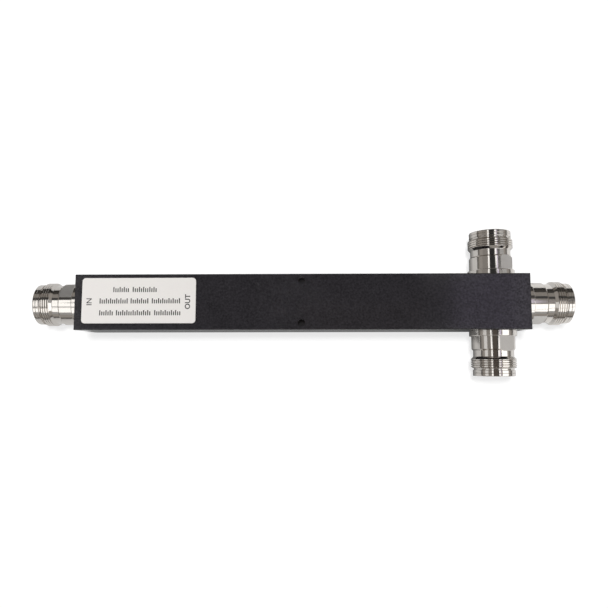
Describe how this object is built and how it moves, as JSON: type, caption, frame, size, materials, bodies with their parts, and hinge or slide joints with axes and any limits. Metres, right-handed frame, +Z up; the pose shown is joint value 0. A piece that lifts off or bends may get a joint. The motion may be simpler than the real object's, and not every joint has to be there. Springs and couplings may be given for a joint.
{
  "type": "rf power splitter",
  "caption": "Square black bar housing with a coaxial jack on the input end and more jacks around the output end, splitting radio power through a stepped inner line.",
  "frame": {"origin": "centre of the housing's underside, on the surface that the part lies on", "axes": "+X along the housing towards the output end, +Y across it towards the north port, +Z up through the labelled face"},
  "size_m": [0.2444, 0.0664, 0.0251],
  "materials": {
    "powder_coat": "satin black powder coat",
    "label_film": "satin film",
    "line_metal": "turned",
    "insulator": "waxy white",
    "plated_shell": "bright nickel plate over turned brass",
    "contact_plate": "gold plate",
    "seal": "matt"
  },
  "bodies": {
    "root": {"housing": "powder_coat", "label": "label_film", "inner_conductor": "line_metal", "input_support": "insulator", "output_support": "insulator", "input_shell": "plated_shell", "input_insulator": "insulator", "input_contact": "contact_plate", "input_gasket": "seal", "end_shell": "plated_shell", "end_insulator": "insulator", "end_contact": "contact_plate", "end_gasket": "seal", "north_shell": "plated_shell", "north_insulator": "insulator", "north_contact": "contact_plate", "north_gasket": "seal", "south_shell": "plated_shell", "south_insulator": "insulator", "south_contact": "contact_plate", "south_gasket": "seal"}
  },
  "joints": []
}
